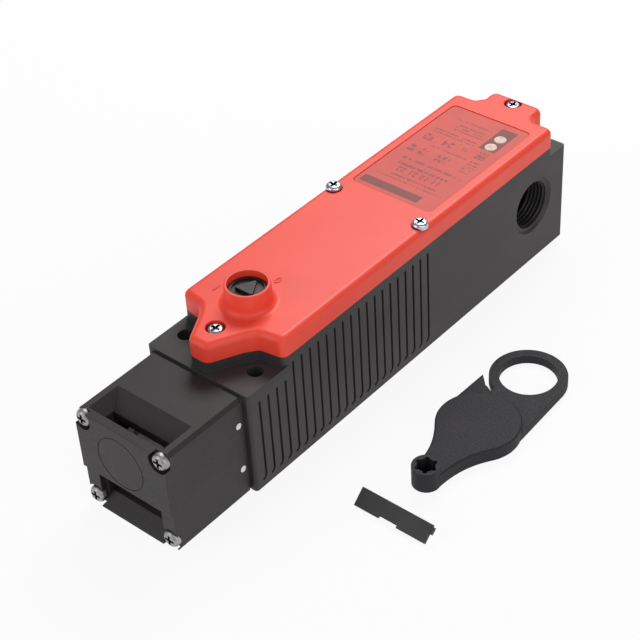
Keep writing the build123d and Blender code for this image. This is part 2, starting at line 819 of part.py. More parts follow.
def make_lock_slide():
    """The lock slide: a side bar, the lug that the release cam pushes, and the armature yoke."""
    z0, z1 = rod_axis_z - slide_h / 2, rod_axis_z + slide_h / 2
    nose_y = wheel_y + wheel_disc_r + slide_gap
    bar = box(slide_x0, slide_x1, nose_y + notch_deep, slide_end_y, z0, z1)
    nose_h = (notch_w - 2 * slide_gap) / 2
    bar += box(slide_x0, slide_x1, nose_y, nose_y + notch_deep, rod_axis_z - nose_h, rod_axis_z + nose_h)
    lug_y = collar_y + release_cam_r0 + rod_nose_gap + rod_nose_r
    bar += box(slide_x0, slide_x1, lug_y, lug_y + lug_t, z0, lug_z1)
    lug = box(-lug_half_w, slide_x1, lug_y, lug_y + lug_t, lug_z0, lug_z1)
    lug += rod_z(rod_nose_r, lug_z0, lug_z1, 0, lug_y)
    yoke = box(-armature_r, slide_x1, slide_end_y - yoke_t, slide_end_y, z0, z1)
    return bar + lug + yoke


def make_armature():
    """The iron plunger of the electromagnet with its rear pin."""
    plunger = rod_y(armature_r, slide_end_y, armature_end_y, 0, rod_axis_z)
    plunger = chamfer(plunger.edges().sort_by(Axis.Y)[-1], armature_edge)
    return plunger + rod_y(rear_pin_r, armature_end_y, rear_pin_end_y, 0, rod_axis_z)


def make_yoke():
    """The bent iron frame of the electromagnet, standing on the floor of the case."""
    z1 = rod_axis_z + bobbin_flange_r + yoke_over
    half = yoke_half_w
    frame = box(-half, half, coil_y0 - yoke_t, coil_y0 + coil_len + yoke_t, floor_t, floor_t + yoke_t)
    frame += box(-half, half, coil_y0 - yoke_t, coil_y0, floor_t, z1)
    frame += box(-half, half, coil_y0 + coil_len, coil_y0 + coil_len + yoke_t, floor_t, z1)
    frame -= rod_y(armature_r + armature_run, coil_y0 - yoke_t - 1, coil_y0 + 1, 0, rod_axis_z)
    rear_y = coil_y0 + coil_len
    return frame - rod_y(rear_pin_r + rear_pin_gap, rear_y - 1, rear_y + yoke_t + 1, 0, rod_axis_z)


def make_bobbin():
    """The moulded bobbin between the ends of the iron frame."""
    tube = rod_y(bobbin_r, coil_y0, coil_y0 + coil_len, 0, rod_axis_z)
    tube += rod_y(bobbin_flange_r, coil_y0, coil_y0 + bobbin_flange_t, 0, rod_axis_z)
    tube += rod_y(bobbin_flange_r, coil_y0 + coil_len - bobbin_flange_t, coil_y0 + coil_len, 0, rod_axis_z)
    return tube - rod_y(armature_r + armature_run, coil_y0 - 1, coil_y0 + coil_len + 1, 0, rod_axis_z)


def make_coil():
    """The winding on the bobbin."""
    y0, y1 = coil_y0 + bobbin_flange_t, coil_y0 + coil_len - bobbin_flange_t
    return rod_y(coil_r, y0, y1, 0, rod_axis_z) - rod_y(bobbin_r + bush_fit, y0 - 1, y1 + 1, 0, rod_axis_z)


def make_spindle():
    """The key release spindle with its raised three-cornered key seat."""
    head = rod_z(spindle_r, spindle_seat_z + spindle_lift, spindle_top_z, 0, collar_y)
    sunk_z = spindle_top_z - spindle_rim_deep
    head -= rod_z(spindle_r - spindle_rim_w, sunk_z, spindle_top_z + 1, 0, collar_y)
    key = Pos(0, collar_y) * RegularPolygon(spindle_key_r, 3, rotation=90)
    key = fillet(key.vertices(), spindle_key_edge_r)
    head += plate(key, sunk_z, sunk_z + spindle_key_h)
    stem = rod_z(spindle_stem_r, lug_z0, spindle_seat_z + spindle_lift, 0, collar_y)
    return head + stem


def make_spindle_clip():
    """The ring that keeps the spindle in the cover."""
    z1 = cover_top_z - cover_top_t - spindle_lift
    ring = rod_z(spindle_stem_r + clip_w, z1 - clip_t, z1, 0, collar_y)
    return ring - rod_z(spindle_stem_r + bush_fit, z1 - 2, z1 + 1, 0, collar_y)


def make_release_cam():
    """The spiral cam that draws the lock slide back, under a disc with two detent notches."""
    rise = slide_travel / release_turn_deg
    flank = [(r * cos(radians(90 - t)), r * sin(radians(90 - t)))
             for r, t in spiral_points(release_cam_r0, rise, release_turn_deg + 10, 8)]
    curve = Spline(*flank)
    close = Polyline(flank[-1], (0, -1), flank[0])
    cam = make_face([curve, close]) + Circle(release_cam_r0)
    cam = Pos(0, collar_y) * cam - Pos(0, collar_y) * Circle(spindle_stem_r + bush_fit)
    z1 = lug_z1 + release_cam_gap
    disc = rod_z(release_disc_r, z1, z1 + release_disc_t)
    disc -= rod_z(spindle_stem_r + bush_fit, z1 - 1, z1 + release_disc_t + 1)
    for turn in (0, release_turn_deg):
        disc -= Rot(0, 0, turn) * rod_z(detent_r, z1 - 1, z1 + release_disc_t + 1, -release_disc_r, 0)
    return plate(cam, lug_z0 + release_cam_gap, z1) + Pos(0, collar_y) * disc


def make_earth():
    """The earth terminal plate on the floor behind the rear switching block."""
    top = floor_t + earth_t
    seat = box(-earth_half_w, earth_half_w, earth_y - earth_half_len, earth_y + earth_half_len, floor_t, top)
    return seat - rod_z(screw_shank_r, floor_t - 1, top + 1, 0, earth_y)


def make_earth_screw():
    """The screw of the earth terminal."""
    screw = pan_screw(screw_head_r, screw_head_h, screw_shank_r - tap_gap, earth_screw_len)
    return Pos(0, earth_y, floor_t + earth_t) * screw


def key_neck():
    """The outline between the disc and the boss, drawn in by a hollow curve on each side."""
    start_x = key_disc_r * cos(radians(key_neck_deg))
    start_y = key_disc_y - key_disc_r * sin(radians(key_neck_deg))
    sides = []
    for side in (-1, 1):
        start = (key_x + side * start_x, start_y)
        end = (key_boss_x + side * (key_boss_r - 0.1), key_boss_y)
        pull_x = key_neck_pull * sin(radians(key_neck_deg))
        leave = (-side * pull_x, -key_neck_pull * cos(radians(key_neck_deg)))
        arrive = (0, -key_neck_pull)
        sides.append(Spline(start, end, tangents=(leave, arrive)))
    left, right = sides
    return make_face([left, Line(left @ 1, right @ 1), right, Line(right @ 0, left @ 0)])


def make_release_key():
    """The loose release key: a lever with a ring, a barb and a six-lobed socket."""
    ring = Pos(key_ring_x, key_ring_y) * Circle(key_ring_r)
    disc = Pos(key_x, key_disc_y) * Circle(key_disc_r)
    inner_x = barb_tip[0] + barb_back
    web = make_face(Polyline((inner_x, key_disc_y), (key_x + key_disc_r - key_waist, key_disc_y),
                             (key_ring_x + key_ring_r, key_ring_y), (key_ring_x, key_ring_y),
                             (inner_x, key_ring_y - barb_back), close=True))
    barb = make_face(Polyline(barb_tip, (key_x - key_disc_r + 0.1, key_disc_y), (key_x, key_disc_y),
                              (key_ring_x, key_ring_y - key_ring_r),
                              (barb_tip[0] + barb_root, barb_tip[1] - barb_root), close=True))
    barb -= Pos(key_ring_x, key_ring_y) * Circle(key_ring_r + key_slit)
    flat = ring + web + barb + disc - Pos(key_ring_x, key_ring_y) * Circle(key_ring_hole_r)
    lever = plate(disc + key_neck(), 0, key_disc_h)
    rim = lever.edges().filter_by(lambda e: abs(e.center().Z - key_disc_h) < 0.01)
    body = fillet(rim, key_edge_r) + plate(flat, 0, key_plate_t)
    body += rod_z(key_boss_r, 0, key_boss_h, key_boss_x, key_boss_y)
    lobes = Circle(key_socket_r)
    for i in range(6):
        lobes += Rot(0, 0, 60 * i) * Pos(key_lobe_at, 0) * Circle(key_lobe_r)
    return body - plate(Pos(key_boss_x, key_boss_y) * lobes, key_socket_floor, key_boss_h + 1)


def make_slot_plug():
    """The loose plug for the unused slot, standing on its edge and its two legs."""
    strip = box(0, plug_len, 0, plug_t, 0, plug_h)
    strip -= box(plug_notch_x0, plug_notch_x1, -1, plug_t + 1, -1, plug_notch)
    leg_out = plug_leg_z / tan(radians(plug_lean_deg))
    for x in (plug_leg_in, plug_len - plug_leg_in - plug_leg_w):
        strip += box(x, x + plug_leg_w, plug_t, plug_t + leg_out, plug_leg_z, plug_leg_z + plug_leg_t)
    strip += box(plug_len, plug_len + plug_tab_len, plug_tab_y, plug_t, plug_tab_low, plug_tab_high)
    lean = Rot(-plug_lean_deg, 0, 0) * strip
    return Pos(plug_x0, plug_y, plug_t * sin(radians(plug_lean_deg))) * lean


def main():
    """Write every sub-part."""
    save("housing", make_housing())
    save("cover", make_cover())
    save("cover_gasket", make_gasket())
    save("cover_screws", *make_cover_screws())
    save("label", make_label())
    save("lamp_lenses", *make_lamps())
    save("lamp_board", make_board())
    save("board_posts", *make_board_posts())
    save("head_housing", make_head())
    save("head_gasket", make_head_gasket())
    save("head_base", make_head_base())
    save("head_pins", *make_head_pins())
    save("head_screws", *make_head_screws())
    save("cam_wheel", make_wheel())
    save("wheel_axle", make_axle())
    save("push_rod", make_push_rod())
    save("tongue_bridge", make_bridge(rod_end_y))
    rod_spring_end = block_a_y0 + block_a_len - chamber_wall
    save("rod_spring", coil_spring(rod_end_y + bridge_t, rod_spring_end, rod_spring_r, rod_spring_turns))
    save("tongue_block", make_block(block_a_x0, block_a_x1, block_a_y0, block_a_len, rod_r + run_gap))
    save("terminal_screws", *make_terminal_screws())
    save("lock_slide", make_lock_slide())
    save("armature", make_armature())
    magnet_spring_r = armature_r + magnet_spring_gap + spring_wire_r
    save("armature_spring", coil_spring(slide_end_y, coil_y0 - yoke_t, magnet_spring_r, magnet_spring_turns))
    save("magnet_frame", make_yoke())
    save("coil_bobbin", make_bobbin())
    save("coil_winding", make_coil())
    save("lock_bridge", make_bridge(rear_pin_end_y))
    half_w = block_b_half_w
    save("lock_block", make_block(-half_w, half_w, block_b_y0, block_b_len, rear_pin_r + rear_pin_gap))
    save("release_spindle", make_spindle())
    save("spindle_clip", make_spindle_clip())
    save("release_cam", make_release_cam())
    save("earth_terminal", make_earth())
    save("earth_screw", make_earth_screw())
    save("release_key", make_release_key())
    save("slot_plug", make_slot_plug())


main()
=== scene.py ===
import math
import bmesh
import bpy
from mathutils import Matrix, Vector


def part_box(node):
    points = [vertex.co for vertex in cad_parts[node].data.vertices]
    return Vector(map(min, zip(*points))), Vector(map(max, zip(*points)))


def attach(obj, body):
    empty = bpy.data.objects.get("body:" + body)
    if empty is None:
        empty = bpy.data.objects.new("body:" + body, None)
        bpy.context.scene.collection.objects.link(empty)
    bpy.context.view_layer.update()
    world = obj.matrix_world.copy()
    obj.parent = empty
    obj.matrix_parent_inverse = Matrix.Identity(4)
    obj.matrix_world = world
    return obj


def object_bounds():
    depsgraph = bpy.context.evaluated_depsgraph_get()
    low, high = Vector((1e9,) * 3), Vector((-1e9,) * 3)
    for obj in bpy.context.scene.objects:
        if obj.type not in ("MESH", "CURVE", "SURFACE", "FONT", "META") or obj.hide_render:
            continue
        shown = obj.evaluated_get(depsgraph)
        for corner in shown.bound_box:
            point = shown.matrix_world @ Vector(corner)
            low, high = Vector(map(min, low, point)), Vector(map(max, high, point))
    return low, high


# Tongue interlock switch with its loose release key and slot plug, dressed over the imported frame.
# Lengths are in metres; mm turns a figure in millimetres into metres.

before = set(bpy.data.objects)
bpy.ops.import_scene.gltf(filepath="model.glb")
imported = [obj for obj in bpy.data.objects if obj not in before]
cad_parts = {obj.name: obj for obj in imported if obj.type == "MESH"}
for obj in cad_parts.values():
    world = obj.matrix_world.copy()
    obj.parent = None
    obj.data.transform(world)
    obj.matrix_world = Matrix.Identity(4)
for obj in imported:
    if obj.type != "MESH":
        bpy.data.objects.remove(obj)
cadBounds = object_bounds()
mm = 0.001
quarter = math.radians(90)
mergeReach = 0.002 * mm              # corners nearer than this become one
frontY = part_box("housing")[0].y      # lengths along Y are counted from the body's front face
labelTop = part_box("label")[1].z
print("frame loaded:", len(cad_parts), "nodes")


# small tools

def screenColour(red, green, blue):
    # a colour as seen on screen, 0 to 255, as the shader's linear colour
    parts = []
    for level in (red, green, blue):
        share = level / 255
        parts.append(share / 12.92 if share <= 0.04045 else ((share + 0.055) / 1.055) ** 2.4)
    return (*parts, 1.0)


def deselectAll():
    if bpy.context.object and bpy.context.object.mode == "EDIT":
        bpy.ops.object.mode_set(mode="OBJECT")
    bpy.ops.object.select_all(action="DESELECT")


def openEdit(piece, kind="VERT"):
    bpy.context.view_layer.objects.active = piece
    bpy.ops.object.mode_set(mode="EDIT")
    bpy.ops.mesh.select_mode(type=kind)


def closeEdit():
    bpy.ops.object.mode_set(mode="OBJECT")


def pickVerts(piece, test):
    mesh = bmesh.from_edit_mesh(piece.data)
    for face in mesh.faces:
        face.select_set(False)
    for vert in mesh.verts:
        vert.select_set(test(vert.co))
    mesh.select_flush(True)
    bmesh.update_edit_mesh(piece.data)


def fixNormals(piece):
    openEdit(piece)
    bpy.ops.mesh.select_all(action="SELECT")
    bpy.ops.mesh.remove_doubles(threshold=mergeReach)
    bpy.ops.mesh.normals_make_consistent(inside=False)
    closeEdit()


def applyAll(piece):
    # leaves the object at the origin, with its place in its mesh
    deselectAll()
    piece.select_set(True)
    bpy.context.view_layer.objects.active = piece
    for modifier in list(piece.modifiers):
        bpy.ops.object.modifier_apply(modifier=modifier.name)
    bpy.ops.object.transform_apply(location=True, rotation=True, scale=True)


def settle(piece, name, body, material):
    applyAll(piece)
    piece.name = name
    piece.data.name = name
    piece.data.materials.clear()
    piece.data.materials.append(material)
    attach(piece, body)
    deselectAll()
    return piece


# materials

noiseSpan = (0.3, 0.7)          # nearly all values of a noise lie in here
edgeSamples = 6
hollowSamples = 8
hollowSpan = (0.35, 0.85)       # how open a place is, from full painted shade to none


def startMaterial(name):
    material = bpy.data.materials.new(name)
    material.use_nodes = True
    nodes = material.node_tree.nodes
    links = material.node_tree.links
    shader = nodes["Principled BSDF"]
    where = nodes.new("ShaderNodeTexCoord")
    return material, nodes, links, shader, where.outputs["Object"]


def noiseNode(nodes, links, place, scale, detail=3.0, roughness=0.55):
    noise = nodes.new("ShaderNodeTexNoise")
    noise.inputs["Scale"].default_value = scale
    noise.inputs["Detail"].default_value = detail
    noise.inputs["Roughness"].default_value = roughness
    links.new(place, noise.inputs["Vector"])
    return noise.outputs["Fac"]


def twoTones(nodes, links, factor, look):
    # from the look's shade to its colour, over the factor's toneSpan
    ramp = nodes.new("ShaderNodeValToRGB")
    tones = zip(look["toneSpan"], (look["shade"], look["colour"]))
    for point, (position, colour) in zip(ramp.color_ramp.elements, tones):
        point.position = position
        point.color = colour
    links.new(factor, ramp.inputs["Fac"])
    return ramp.outputs["Color"]


def rangeNode(nodes, links, value, span, newSpan):
    scale = nodes.new("ShaderNodeMapRange")
    for socket, figure in zip(("From Min", "From Max", "To Min", "To Max"), (*span, *newSpan)):
        scale.inputs[socket].default_value = figure
    links.new(value, scale.inputs["Value"])
    return scale.outputs["Result"]


def mathNode(nodes, links, action, first, second=None):
    step = nodes.new("ShaderNodeMath")
    step.operation = action
    for socket, value in zip(step.inputs, (first, second)):
        if value is None:
            continue
        if isinstance(value, (int, float)):
            socket.default_value = value
        else:
            links.new(value, socket)
    return step.outputs["Value"]


def mixColours(nodes, links, share, first, second):
    # share 0 gives the first and 1 the second; sockets 6 and 7 are the two colours, output 2 the mixed one
    mix = nodes.new("ShaderNodeMix")
    mix.data_type = "RGBA"
    links.new(share, mix.inputs[0])
    for socket, colour in ((mix.inputs[6], first), (mix.inputs[7], second)):
        if isinstance(colour, tuple):
            socket.default_value = colour
        else:
            links.new(colour, socket)
    return mix.outputs[2]


def bumpNode(nodes, links, height, strength, distance, edgeRadius):
    # a fine grain on top of edges that are softly broken, as mould and tumbling leave them
    edge = nodes.new("ShaderNodeBevel")
    edge.samples = edgeSamples
    edge.inputs["Radius"].default_value = edgeRadius
    bump = nodes.new("ShaderNodeBump")
    bump.inputs["Strength"].default_value = strength
    bump.inputs["Distance"].default_value = distance
    links.new(height, bump.inputs["Height"])
    links.new(edge.outputs["Normal"], bump.inputs["Normal"])
    return bump.outputs["Normal"]


def paintHollowShade(nodes, links, colour, hollowShade, reach):
    # painted shade in recesses and under rims
    hollow = nodes.new("ShaderNodeAmbientOcclusion")
    hollow.samples = hollowSamples
    hollow.inputs["Distance"].default_value = reach
    share = rangeNode(nodes, links, hollow.outputs["AO"], hollowSpan, (0.0, 1.0))
    return mixColours(nodes, links, share, hollowShade, colour)


def mouldedPlastic(name, look):
    material, nodes, links, shader, place = startMaterial(name)
    drift = noiseNode(nodes, links, place, look["driftScale"], 2.0)
    grain = noiseNode(nodes, links, place, look["grainScale"], 4.0, 0.6)
    links.new(twoTones(nodes, links, drift, look), shader.inputs["Base Color"])
    links.new(rangeNode(nodes, links, grain, noiseSpan, look["roughness"]), shader.inputs["Roughness"])
    normal = bumpNode(nodes, links, grain, look["grain"], look["grainDepth"], look["edge"])
    links.new(normal, shader.inputs["Normal"])
    shader.inputs["Specular IOR Level"].default_value = look["specular"]
    if "glow" in look:
        shader.inputs["Subsurface Weight"].default_value = look["glow"]
        shader.inputs["Subsurface Radius"].default_value = look["glowReach"]
        shader.inputs["Subsurface Scale"].default_value = 1.0
    return material


def bareMetal(name, look):
    material, nodes, links, shader, place = startMaterial(name)
    cloud = noiseNode(nodes, links, place, look["cloudScale"], 3.0)
    scratch = noiseNode(nodes, links, place, look["scratchScale"], 5.0, 0.7)
    colour = twoTones(nodes, links, cloud, look)
    # painted shade in the recesses, where the look asks for it
    if "hollowShade" in look:
        colour = paintHollowShade(nodes, links, colour, look["hollowShade"], look["hollowShadeReach"])
    links.new(colour, shader.inputs["Base Color"])
    links.new(rangeNode(nodes, links, scratch, noiseSpan, look["roughness"]), shader.inputs["Roughness"])
    normal = bumpNode(nodes, links, scratch, look["bump"], look["scratchDepth"], look["edge"])
    links.new(normal, shader.inputs["Normal"])
    shader.inputs["Metallic"].default_value = 1.0
    return material


blackMoulding = {
    "colour": screenColour(56, 51, 52), "shade": screenColour(49, 45, 46), "toneSpan": (0.32, 0.68),
    "driftScale": 60.0, "grainScale": 2600.0, "grain": 0.35, "grainDepth": 0.1 * mm,
    "roughness": (0.45, 0.62), "specular": 0.4, "edge": 0.25 * mm,
}
redMoulding = {
    "colour": screenColour(245, 75, 54), "shade": screenColour(240, 67, 47), "toneSpan": (0.32, 0.68),
    "driftScale": 30.0, "grainScale": 3000.0, "grain": 0.2, "grainDepth": 0.1 * mm,
    "roughness": (0.38, 0.5), "specular": 0.5, "edge": 0.3 * mm,
    "glow": 0.06, "glowReach": (0.8 * mm, 0.25 * mm, 0.15 * mm),
}
zincPlate = {
    "colour": (0.66, 0.69, 0.75, 1.0), "shade": (0.46, 0.49, 0.58, 1.0), "toneSpan": (0.35, 0.65),
    "cloudScale": 700.0, "scratchScale": 3500.0, "scratchDepth": 0.05 * mm,
    "roughness": (0.16, 0.34), "bump": 0.15, "edge": 0.12 * mm,
}

finishes = {
    "housing": mouldedPlastic("blackCase", blackMoulding),
    "cover": mouldedPlastic("redCover", redMoulding),
    "head": mouldedPlastic("blackHead", {
        **blackMoulding, "colour": screenColour(42, 37, 37), "shade": screenColour(36, 32, 32),
        "grainScale": 2200.0, "roughness": (0.44, 0.6)}),
    "key": mouldedPlastic("blackKey", {
        **blackMoulding, "colour": screenColour(40, 38, 42), "shade": screenColour(34, 32, 36),
        "grainScale": 1800.0, "grain": 0.5, "roughness": (0.52, 0.7), "specular": 0.28}),
    "plug": mouldedPlastic("blackPlug", {
        **blackMoulding, "colour": screenColour(50, 48, 50), "shade": screenColour(45, 43, 45),
        "roughness": (0.36, 0.5)}),
    # the black moulding made darker: painted shade inside the conduit entries
    "entry": mouldedPlastic("entryThreadPaintedShade", {
        **blackMoulding, "colour": screenColour(27, 25, 25), "shade": screenColour(21, 19, 19)}),
    "spindle": mouldedPlastic("blackSpindle", {
        **blackMoulding, "colour": screenColour(33, 29, 28), "shade": screenColour(25, 22, 21),
        "roughness": (0.3, 0.45)}),
    "rod": mouldedPlastic("paleRod", {
        **blackMoulding, "colour": screenColour(226, 222, 210), "shade": screenColour(214, 208, 194)}),
    "inner": mouldedPlastic("greyInner", {
        **blackMoulding, "colour": screenColour(104, 104, 106), "shade": screenColour(92, 92, 95)}),
    "rubber": mouldedPlastic("sealRubber", {
        **blackMoulding, "colour": screenColour(34, 33, 33), "shade": screenColour(27, 26, 26),
        "roughness": (0.65, 0.85), "specular": 0.3}),
    "gasket": mouldedPlastic("headSeal", {
        **blackMoulding, "colour": screenColour(52, 48, 48), "shade": screenColour(46, 42, 42),
        "roughness": (0.6, 0.8)}),
    # both screw finishes paint shade into their cross recesses
    "zinc": bareMetal("zincScrew", {
        **zincPlate, "roughness": (0.2, 0.36), "hollowShade": (0.035, 0.045, 0.09, 1.0), "hollowShadeReach": 1.2 * mm}),
    "headZinc": bareMetal("dullZincScrew", {
        **zincPlate, "colour": (0.44, 0.44, 0.44, 1.0), "shade": (0.30, 0.30, 0.30, 1.0),
        "roughness": (0.38, 0.55), "hollowShade": (0.03, 0.03, 0.03, 1.0), "hollowShadeReach": 1.2 * mm}),
    "wheelSteel": bareMetal("wheelSteel", {
        **zincPlate, "colour": (0.88, 0.88, 0.87, 1.0), "shade": (0.80, 0.80, 0.79, 1.0),
        "roughness": (0.42, 0.55)}),
    "steel": bareMetal("brightSteel", {
        **zincPlate, "colour": (0.72, 0.72, 0.73, 1.0), "shade": (0.58, 0.58, 0.6, 1.0)}),
    "spring": bareMetal("springSteel", {
        **zincPlate, "colour": (0.46, 0.45, 0.44, 1.0), "shade": (0.34, 0.33, 0.33, 1.0)}),
    "iron": bareMetal("magnetIron", {
        **zincPlate, "colour": (0.52, 0.51, 0.5, 1.0), "shade": (0.4, 0.39, 0.39, 1.0),
        "roughness": (0.3, 0.5)}),
    "brass": bareMetal("contactBrass", {
        **zincPlate, "colour": (0.78, 0.58, 0.26, 1.0), "shade": (0.64, 0.45, 0.19, 1.0)}),
}


copperLook = {
    "colour": screenColour(214, 122, 74), "shade": screenColour(112, 52, 26), "toneSpan": (0.2, 0.8),
    "turnScale": 450.0, "bump": 0.6, "wireDepth": 0.1 * mm, "edge": 0.1 * mm,
    "metallic": 0.8, "roughness": 0.35,
}


def copperWinding(look):
    # fine wire, wound across the bobbin's axis, with painted shade in the valleys between the turns
    material, nodes, links, shader, place = startMaterial("copperCoil")
    turns = nodes.new("ShaderNodeTexWave")
    turns.bands_direction = "Y"
    turns.inputs["Scale"].default_value = look["turnScale"]
    links.new(place, turns.inputs["Vector"])
    height = turns.outputs["Fac"]
    links.new(twoTones(nodes, links, height, look), shader.inputs["Base Color"])
    normal = bumpNode(nodes, links, height, look["bump"], look["wireDepth"], look["edge"])
    links.new(normal, shader.inputs["Normal"])
    shader.inputs["Metallic"].default_value = look["metallic"]
    shader.inputs["Roughness"].default_value = look["roughness"]
    return material


boardLook = {
    "lacquer": screenColour(24, 92, 52), "lacquerShade": screenColour(20, 82, 46),
    "track": screenColour(70, 140, 86), "trackScale": 260.0, "trackWidth": 0.04, "roughness": 0.35,
}


def circuitBoard(look):
    material, nodes, links, shader, place = startMaterial("circuitBoard")
    tracks = nodes.new("ShaderNodeTexBrick")
    tracks.inputs["Scale"].default_value = look["trackScale"]
    tracks.inputs["Mortar Size"].default_value = look["trackWidth"]
    tracks.inputs["Color1"].default_value = look["lacquer"]
    tracks.inputs["Color2"].default_value = look["lacquerShade"]
    tracks.inputs["Mortar"].default_value = look["track"]
    links.new(place, tracks.inputs["Vector"])
    links.new(tracks.outputs["Color"], shader.inputs["Base Color"])
    shader.inputs["Roughness"].default_value = look["roughness"]
    return material


lampLook = {
    "colour": screenColour(226, 200, 184), "shade": screenColour(206, 176, 160), "toneSpan": (0.35, 0.65),
    "cloudScale": 400.0, "roughness": (0.25, 0.4), "glow": 0.2, "glowScale": 1.0 * mm,
}


def lampLens(look):
    # a clouded beige lens
    material, nodes, links, shader, place = startMaterial("lampLens")
    cloud = noiseNode(nodes, links, place, look["cloudScale"], 2.0)
    links.new(twoTones(nodes, links, cloud, look), shader.inputs["Base Color"])
    links.new(rangeNode(nodes, links, cloud, noiseSpan, look["roughness"]), shader.inputs["Roughness"])
    shader.inputs["Subsurface Weight"].default_value = look["glow"]
    shader.inputs["Subsurface Scale"].default_value = look["glowScale"]
    return material


labelLook = {
    "colour": screenColour(212, 84, 72), "shade": screenColour(204, 79, 69), "toneSpan": (0.35, 0.65),
    "driftScale": 90.0, "ink": screenColour(96, 52, 52),
    "grainScale": 2600.0, "grain": 0.2, "grainDepth": 0.05 * mm, "edge": 0.1 * mm, "roughness": (0.5, 0.62),
    "solids": (((-15.3, 9.5), (100.0, 103.9)),       # bare dark band at the front end, x and y in mm
               ((6.7, 13.5), (139.8, 154.6))),       # dark field round the two lamps
    "solidInk": 0.8,
    # rows of small marks, in mm: x, y, row pitch, height of a row, size of a mark; then the ink's strength
    "rows": (((-13.4, 14.4), (107.0, 107.8), 1.6, 0.8, 0.8, 0.45),
             ((-8.6, 10.7), (109.0, 110.0), 1.6, 1.0, 0.9, 0.6),
             ((-10.6, 10.4), (115.6, 117.0), 2.0, 1.4, 1.2, 0.6),
             ((-12.4, 12.6), (119.4, 120.6), 2.0, 1.2, 1.3, 0.55),
             ((-13.9, -5.9), (124.4, 128.9), 2.5, 1.7, 1.3, 0.6),
             ((-1.6, 3.2), (124.0, 128.4), 2.5, 1.7, 1.3, 0.6),
             ((9.4, 13.6), (123.6, 131.4), 1.7, 1.0, 0.8, 0.5),
             ((-8.0, 8.0), (130.6, 131.5), 1.6, 0.9, 0.8, 0.45),
             ((-13.5, -9.6), (133.2, 137.2), 1.4, 1.2, 0.7, 0.7),
             ((9.0, 12.8), (133.4, 138.2), 1.3, 1.1, 0.7, 0.7),
             ((2.6, 4.8), (134.6, 136.8), 1.2, 1.0, 0.6, 0.5),
             ((-13.4, 4.6), (139.2, 142.6), 1.7, 0.9, 0.8, 0.5),
             ((-7.6, 5.4), (144.0, 148.9), 1.65, 0.9, 0.8, 0.5),
             ((-10.8, 5.0), (150.2, 151.1), 1.6, 0.9, 0.8, 0.4)),
    "markShare": 0.46,        # marks stand where the noise is above this
    "rowShift": 0.37,         # sets the marks of one row off from the next
    "markStretch": 0.35,      # along Y, against their size along X
}


def insideNode(nodes, links, value, low, high):
    over = mathNode(nodes, links, "GREATER_THAN", value, low)
    under = mathNode(nodes, links, "LESS_THAN", value, high)
    return mathNode(nodes, links, "MULTIPLY", over, under)


def fieldNode(nodes, links, x, y, across, along):
    # 1 inside a field of the label, 0 outside
    acrossMask = insideNode(nodes, links, x, across[0] * mm, across[1] * mm)
    alongMask = insideNode(nodes, links, y, frontY + along[0] * mm, frontY + along[1] * mm)
    return mathNode(nodes, links, "MULTIPLY", acrossMask, alongMask)


def printedRows(nodes, links, x, y, row, look):
    across, along, pitch, height, markSize, strength = row
    fromStart = mathNode(nodes, links, "SUBTRACT", y, frontY + along[0] * mm)
    rowPlace = mathNode(nodes, links, "DIVIDE", fromStart, pitch * mm)
    rowShare = mathNode(nodes, links, "FRACT", rowPlace)
    rowNumber = mathNode(nodes, links, "FLOOR", rowPlace)
    inRow = mathNode(nodes, links, "LESS_THAN", rowShare, height / pitch)
    markPlace = nodes.new("ShaderNodeCombineXYZ")
    links.new(x, markPlace.inputs["X"])
    links.new(mathNode(nodes, links, "MULTIPLY", rowNumber, look["rowShift"]), markPlace.inputs["Y"])
    links.new(mathNode(nodes, links, "MULTIPLY", y, look["markStretch"]), markPlace.inputs["Z"])
    mark = noiseNode(nodes, links, markPlace.outputs["Vector"], 1 / (markSize * mm), 1.0)
    inMark = mathNode(nodes, links, "GREATER_THAN", mark, look["markShare"])
    rows = mathNode(nodes, links, "MULTIPLY", inRow, inMark)
    rows = mathNode(nodes, links, "MULTIPLY", rows, fieldNode(nodes, links, x, y, across, along))
    return mathNode(nodes, links, "MULTIPLY", rows, strength)


def labelFilm(look):
    # a matt film: rows of plain marks stand for the small print, a bare band and a dark field complete it
    material, nodes, links, shader, place = startMaterial("labelFilm")
    parts = nodes.new("ShaderNodeSeparateXYZ")
    links.new(place, parts.inputs["Vector"])
    x, y = parts.outputs["X"], parts.outputs["Y"]
    solids = None
    for across, along in look["solids"]:
        field = fieldNode(nodes, links, x, y, across, along)
        solids = field if solids is None else mathNode(nodes, links, "MAXIMUM", solids, field)
    ink = mathNode(nodes, links, "MULTIPLY", solids, look["solidInk"])
    for row in look["rows"]:
        ink = mathNode(nodes, links, "MAXIMUM", ink, printedRows(nodes, links, x, y, row, look))
    grain = noiseNode(nodes, links, place, look["grainScale"], 3.0)
    film = twoTones(nodes, links, noiseNode(nodes, links, place, look["driftScale"], 2.0), look)
    links.new(mixColours(nodes, links, ink, film, look["ink"]), shader.inputs["Base Color"])
    links.new(rangeNode(nodes, links, grain, noiseSpan, look["roughness"]), shader.inputs["Roughness"])
    normal = bumpNode(nodes, links, grain, look["grain"], look["grainDepth"], look["edge"])
    links.new(normal, shader.inputs["Normal"])
    return material


finishes["copper"] = copperWinding(copperLook)
finishes["board"] = circuitBoard(boardLook)
finishes["lamp"] = lampLens(lampLook)
finishes["label"] = labelFilm(labelLook)

